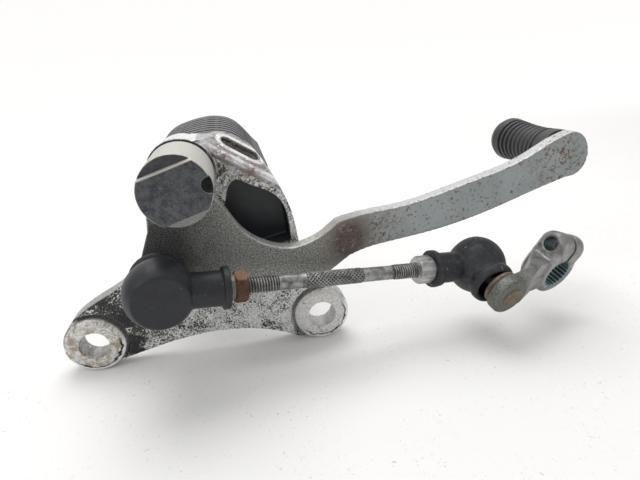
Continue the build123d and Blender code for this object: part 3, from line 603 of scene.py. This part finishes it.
def rusted():
    """Brown rusted steel whose upward faces are painted in lighter rust as painted light."""
    look = Look("rusted_nut")
    broad = look.noise(1.6, 5, 0.7, 0.8)
    fine = look.noise(0.35, 4, 0.8)
    colour = look.mix(look.ramp(broad, 0.35, 0.65), (0.050, 0.025, 0.016), (0.130, 0.066, 0.038))
    # upward faces in lighter rust: painted light
    above = look.ramp(look.normal_z, 0.55, 0.85)
    lit_top_rust = look.mix(look.ramp(fine, 0.40, 0.60), (0.17, 0.085, 0.045), (0.38, 0.22, 0.125))
    colour = look.mix(above, colour, lit_top_rust)
    rough = look.ramp(fine, 0.3, 0.7, 0.62, 0.88)
    return look.finish(colour, rough, 0.25, look.math("ADD", fine, broad), 0.25, 0.8)


def plain_metal(name, colour, rough):
    """Turned metal of hidden pieces, with fine tool marks."""
    look = Look(name)
    marks = look.noise(0.4, 3, 0.6)
    tone = look.mix(marks, tuple(c * 0.75 for c in colour), colour)
    return look.finish(tone, look.ramp(marks, 0.3, 0.7, rough, rough + 0.12), 0.9, marks, 0.04, 0.3)


def seat_plastic():
    """Pale moulded plastic of the ball seats."""
    look = Look("seat_plastic")
    grain = look.noise(0.8, 3, 0.5)
    tone = look.mix(grain, (0.70, 0.69, 0.65), (0.82, 0.81, 0.77))
    return look.finish(tone, look.ramp(grain, 0.3, 0.7, 0.35, 0.5), 0.0, grain, 0.03, 0.3)


def knurled_zinc():
    """Zinc-plated rod whose valleys are darker than its ridges."""
    look = Look("link_rod_zinc")
    height = look.tree.nodes.new("ShaderNodeAttribute")
    height.attribute_name = "ridge"
    ridge = height.outputs["Fac"]
    broad = look.noise(3.0, 5, 0.6, 0.4)
    fine = look.noise(0.3, 3, 0.7)
    tone = look.mix(look.ramp(broad, 0.36, 0.62), (0.145, 0.143, 0.134), (0.42, 0.42, 0.405))
    tone = look.mix(look.ramp(fine, 0.52, 0.64), tone, (0.080, 0.076, 0.070))
    colour = look.mix(look.ramp(ridge, 0.05, 0.75), (0.055, 0.052, 0.048), tone)
    stain = look.ramp(look.noise(1.8, 5, 0.7, 0.6), 0.62, 0.70)
    colour = look.mix(look.both(stain, 0.7), colour, RUST_LIGHT)
    rough = look.ramp(ridge, 0.1, 0.9, 0.62, 0.44)
    return look.finish(colour, rough, 0.85, fine, 0.05, 0.4)


# ------------------------------------------------------------------ pieces
def casting_skin(p):
    """How strongly the cast skin is uneven: weak on the machined bosses and in the hollow."""
    if p.y < 0.0074:
        return 0.15
    return 0.3 if p.y > 0.0175 and p.y < 0.0205 else 1.0


def round_boss_rims(mesh):
    """Rolls the outer rim of the two mounting bosses and of the pivot boss outboard."""
    for vertex in mesh.vertices:
        p = vertex.co - pivot
        for hole_x, hole_z in HOLES:
            radius = math.hypot(p.x - hole_x * MM, p.z - hole_z * MM)
            if radius < 0.0128 and p.y < 0.0098:
                roll = 0.00035 * clamp01((radius - 0.0094) / 0.001) + 190.0 * max(0.0, radius - 0.0094) ** 2
                vertex.co.y += roll


def ease_bend(mesh):
    """Turns the straight joggle of the lever into a soft double bend."""
    depth = 6.0
    sharp_start, sharp_end = 51.0, 66.0
    soft_start, soft_end = 46.0, 71.0
    for vertex in mesh.vertices:
        x = (vertex.co.x - pivot.x) / MM
        soft = clamp01((x - soft_start) / (soft_end - soft_start))
        sharp = clamp01((x - sharp_start) / (sharp_end - sharp_start))
        vertex.co.y += depth * MM * (soft * soft * (3 - 2 * soft) - sharp)


def stretch_skirt(mesh):
    """Draws the skirt of the arm's boot out and in until it almost meets the collar of the ball stud."""
    across = (arm_axis - rod_axis * arm_axis.dot(rod_axis)).normalized()
    skirt_start, stretch, narrowing = 6.5, 0.76, 0.08
    for vertex in mesh.vertices:
        offset = vertex.co - ball_b
        height = offset.dot(across) / MM
        if height > skirt_start:
            outward = offset - across * offset.dot(across)
            longer = across * (stretch * (height - skirt_start) * MM)
            vertex.co += longer - outward * narrowing * clamp01((height - 7.0) / 3.0)


def build_metal_skins():
    """Dense versions of the cast, stamped, welded and forged pieces."""
    casting = reshaped("bracket_casting", "bracket_casting_skin", 0.42, 4, 0.13, 1.1, casting_skin)
    round_boss_rims(casting.data)
    paint(casting, cast_aluminium())
    grey = lever_paint()
    plate = reshaped("lever_plate", "lever_plate_skin", 0.45, 3, 0.05, 2.5)
    ease_bend(plate.data)
    paint(plate, grey)
    hub = reshaped("lever_hub", "lever_hub_skin", 0.28, 1, 0.03, 3.0)
    paint(hub, hub_steel())
    weld = reshaped("hub_weld", "hub_weld_skin", 0.16, 3, 0.45, 1.8)
    paint(weld, grey)
    arm = reshaped("shift_arm", "shift_arm_skin", 0.26, 14, 0.10, 2.2)
    paint(arm, forged_zinc())


def build_rubber():
    """Boots, toe peg sleeve and footrest pad as their own soft pieces."""
    boot_look = rubber("boot_rubber", (0.010, 0.011, 0.014), 0.40, 0.25)
    dusty_look = rubber("boot_rubber_dusty", (0.012, 0.013, 0.016), 0.46, 1.0)
    for node, look in (("boot_a", boot_look), ("boot_b", dusty_look)):
        boot = reshaped(node, node + "_skin", 0.32, 5, 0.06, 4.0)
        if node == "boot_b":
            stretch_skirt(boot.data)
        paint(boot, look)
    pad_look = rubber("footrest_rubber", (0.012, 0.012, 0.014), 0.42, 0.2, ribbed=True)
    pad = reshaped("footpeg_rubber", "footpeg_rubber_skin", 0.40, 1, 0.05, 4.0)
    paint(pad, pad_look)
    toe = reshaped("toe_peg_rubber", "toe_peg_rubber_skin", 0.3, 3, 0.04, 3.0)
    paint(toe, rubber("toe_rubber", (0.020, 0.020, 0.022), 0.40, 0.4))


def build_link_rod():
    """Adjusting rod with real thread and diamond knurl."""
    length = (ball_b - ball_a).length / MM
    hidden = 12.0
    first, last = hidden, length - hidden
    thread_end = 40.2
    knurl = (50.4, 73.0)
    pitch, root, crest, plain = 1.0, 2.52, 3.0, 2.72
    starts, ridge_height, knurl_lead = 12, 0.24, 1.5
    thread_fade, knurl_fade = 0.8, 0.6
    plain_tone = 0.8
    heights = {}

    def thread(s, angle):
        turn = (s / pitch - angle / (2 * math.pi)) % 1.0
        return clamp01(1.35 * (1 - abs(2 * turn - 1)) - 0.15)

    def knurling(s, angle):
        lead = 2 * math.pi * s / knurl_lead
        a = abs(math.cos((starts * angle + lead) / 2))
        b = abs(math.cos((starts * angle - lead) / 2))
        return clamp01(max(a, b) ** 6)

    def radius_at(s, angle):
        if s < thread_end or s > length - thread_end:
            run = min(s - first, last - s, abs(s - thread_end), abs(s - (length - thread_end)))
            ridge = thread(s, angle) * clamp01(run / thread_fade + 0.02)
            radius = root + (crest - root) * ridge
        elif knurl[0] < s < knurl[1]:
            fade = clamp01(min(s - knurl[0], knurl[1] - s) / knurl_fade)
            ridge = knurling(s, angle) * fade
            radius = plain + ridge_height * ridge
        else:
            ridge = plain_tone
            radius = plain
        heights[(round(s, 4), round(angle, 4))] = ridge
        return radius

    stations = span(first, thread_end - 0.05, 230) + span(thread_end + 0.05, knurl[0], 12)
    stations += span(knurl[0] + 0.1, knurl[1] - 0.1, 150) + span(knurl[1], length - thread_end - 0.05, 14)
    stations += span(length - thread_end + 0.05, last, 230)
    segments = 120
    side = rod_axis.cross(Vector((0, 1, 0))).normalized()
    rod = turned("link_rod_threaded", "link_rod", ball_a, rod_axis, side, stations, segments, radius_at)
    layer = rod.data.attributes.new("ridge", "FLOAT", "POINT")
    angles = [2 * math.pi * k / segments for k in range(segments)]
    values = [heights[(round(s, 4), round(angle, 4))] for s in stations for angle in angles]
    for index, value in enumerate(values):
        layer.data[index].value = value
    paint(rod, knurled_zinc())


def finish_cad_nodes():
    """Materials and softened edges for the CAD nodes that stay in view."""
    nut_b_look = zinc("nut_zinc", (0.33, 0.36, 0.375), (0.10, 0.108, 0.112), 0.53, 0.22)
    shank_look = zinc("shank_zinc", (0.26, 0.255, 0.24), (0.10, 0.098, 0.090), 0.60, 0.12, 0.2)
    stud_look = zinc("stud_zinc", (0.24, 0.20, 0.14), (0.11, 0.080, 0.055), 0.54, 0.12, 0.1)
    dark_steel = plain_metal("turned_steel", (0.55, 0.55, 0.54), 0.30)
    looks = {
        "lock_nut_a": rusted(),
        "lock_nut_b": nut_b_look,
        "rod_end_a": shank_look,
        "rod_end_b": shank_look,
        "ball_stud_a": stud_look,
        "ball_stud_b": stud_look,
        "pivot_bush": plain_metal("bush_brass", (0.65, 0.48, 0.24), 0.30),
        "thrust_washer": dark_steel,
        "end_washer": shank_look,
        "retaining_clip": plain_metal("spring_steel", (0.22, 0.22, 0.23), 0.35),
        "toe_peg_pin": dark_steel,
        "footpeg_bar": zinc("bar_cast", (0.55, 0.55, 0.54), (0.36, 0.36, 0.35), 0.80),
        "footpeg_screws": nut_b_look,
        "footpeg_hinge_pin": nut_b_look,
        "footpeg_clip": dark_steel,
        "ball_seat_a": seat_plastic(),
        "ball_seat_b": seat_plastic(),
    }
    for node, look in looks.items():
        obj = frame["nodes"][node]
        paint(obj, look)
        bevel = obj.modifiers.new("soft_edges", "BEVEL")
        bevel.width = 0.25 * MM
        bevel.segments = 2
        bevel.limit_method = "ANGLE"
        bevel.angle_limit = math.radians(40)


# ------------------------------------------------------------------ stage
def build_stage():
    """Pale floor that curves up behind the object, soft light from above and behind."""
    low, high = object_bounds()
    half = 2.2
    profile = [(-1.2, 0.0), (0.9, 0.0)]
    profile += [(0.9 + 0.5 * math.sin(a), 0.5 - 0.5 * math.cos(a)) for a in span(0.15, math.pi / 2, 10)]
    profile += [(1.4, 1.6)]
    corners = [(x, y, z) for y, z in profile for x in (-half, half)]
    faces = [(2 * k, 2 * k + 1, 2 * k + 3, 2 * k + 2) for k in range(len(profile) - 1)]
    mesh = bpy.data.meshes.new("floor")
    mesh.from_pydata(corners, [], faces)
    floor = bpy.data.objects.new("floor", mesh)
    for polygon in mesh.polygons:
        polygon.use_smooth = True
    floor.location = (0, 0, low.z - 0.0003)
    bpy.context.scene.collection.objects.link(floor)
    look = Look("floor_white")
    patch = look.noise(60.0, 3, 0.5)
    speck = look.ramp(look.noise(1.4, 3, 0.7, 1.5), 0.64, 0.675)
    speck = look.both(speck, look.ramp(look.noise(22.0, 2, 0.5), 0.40, 0.53), 0.6)
    colour = look.mix(patch, (0.84, 0.83, 0.81), (0.87, 0.86, 0.845))
    colour = look.mix(speck, colour, (0.35, 0.32, 0.28))
    away = look.ramp(look.y, 0.16, 0.75)
    look.put(look.shader.inputs["Emission Color"], (1.0, 0.992, 0.975))
    look.put(look.shader.inputs["Emission Strength"], look.both(away, 0.955))
    colour = look.mix(away, colour, (0.02, 0.02, 0.02))
    paint(floor, look.finish(colour, 0.7, 0.0, patch, 0.1, 0.1))
    world = bpy.data.worlds.new("studio")
    bpy.context.scene.world = world
    world.use_nodes = True
    tree = world.node_tree
    place = tree.nodes.new("ShaderNodeTexCoord")
    split = tree.nodes.new("ShaderNodeSeparateXYZ")
    tree.links.new(place.outputs["Generated"], split.inputs[0])
    height = tree.nodes.new("ShaderNodeMapRange")
    height.inputs["From Min"].default_value = -0.05
    height.inputs["From Max"].default_value = 0.75
    height.inputs["To Min"].default_value = 0.33
    height.inputs["To Max"].default_value = 0.74
    tree.links.new(split.outputs["Z"], height.inputs["Value"])
    background = tree.nodes["Background"]
    background.inputs["Color"].default_value = (0.985, 0.99, 1.0, 1)
    tree.links.new(height.outputs["Result"], background.inputs["Strength"])
    add_light("key", (0.02, 0.30, 0.75), (0.04, 0.0, -0.03), 0.60, 4.3)
    add_light("fill", (-0.50, -0.35, 0.45), (0.03, 0.0, -0.03), 0.30, 0.9)


def add_light(name, place, target, size, power):
    """Square area light that looks at a point."""
    data = bpy.data.lights.new(name, "AREA")
    data.size = size
    data.energy = power
    light = bpy.data.objects.new(name, data)
    light.location = pivot + Vector(place)
    light.rotation_mode = "QUATERNION"
    light.rotation_quaternion = (Vector(target) - Vector(place)).to_track_quat("-Z", "Y")
    bpy.context.scene.collection.objects.link(light)


def build_camera():
    """Camera close to the inboard side, a little above and to the rear."""
    place = Vector((0.01812, -0.16661, 0.03714))
    azimuth, elevation, roll = math.radians(-9.95), math.radians(21.14), math.radians(-2.97)
    level = math.cos(elevation)
    back = Vector((math.sin(azimuth) * level, -math.cos(azimuth) * level, math.sin(elevation)))
    right = Vector((math.cos(azimuth), math.sin(azimuth), 0))
    up = back.cross(right)
    turned_right = right * math.cos(roll) + up * math.sin(roll)
    turned_up = up * math.cos(roll) - right * math.sin(roll)
    data = bpy.data.cameras.new("camera")
    data.sensor_width = 36.0
    data.lens = 27.06
    data.clip_start = 0.005
    data.clip_end = 20.0
    camera = bpy.data.objects.new("camera", data)
    axes = Matrix((turned_right, turned_up, back)).transposed()
    camera.matrix_world = Matrix.Translation(pivot + place) @ axes.to_4x4()
    bpy.context.scene.collection.objects.link(camera)
    bpy.context.scene.camera = camera


build_metal_skins()
build_rubber()
build_link_rod()
finish_cad_nodes()
build_stage()
build_camera()
bpy.context.scene.view_settings.view_transform = "Standard"
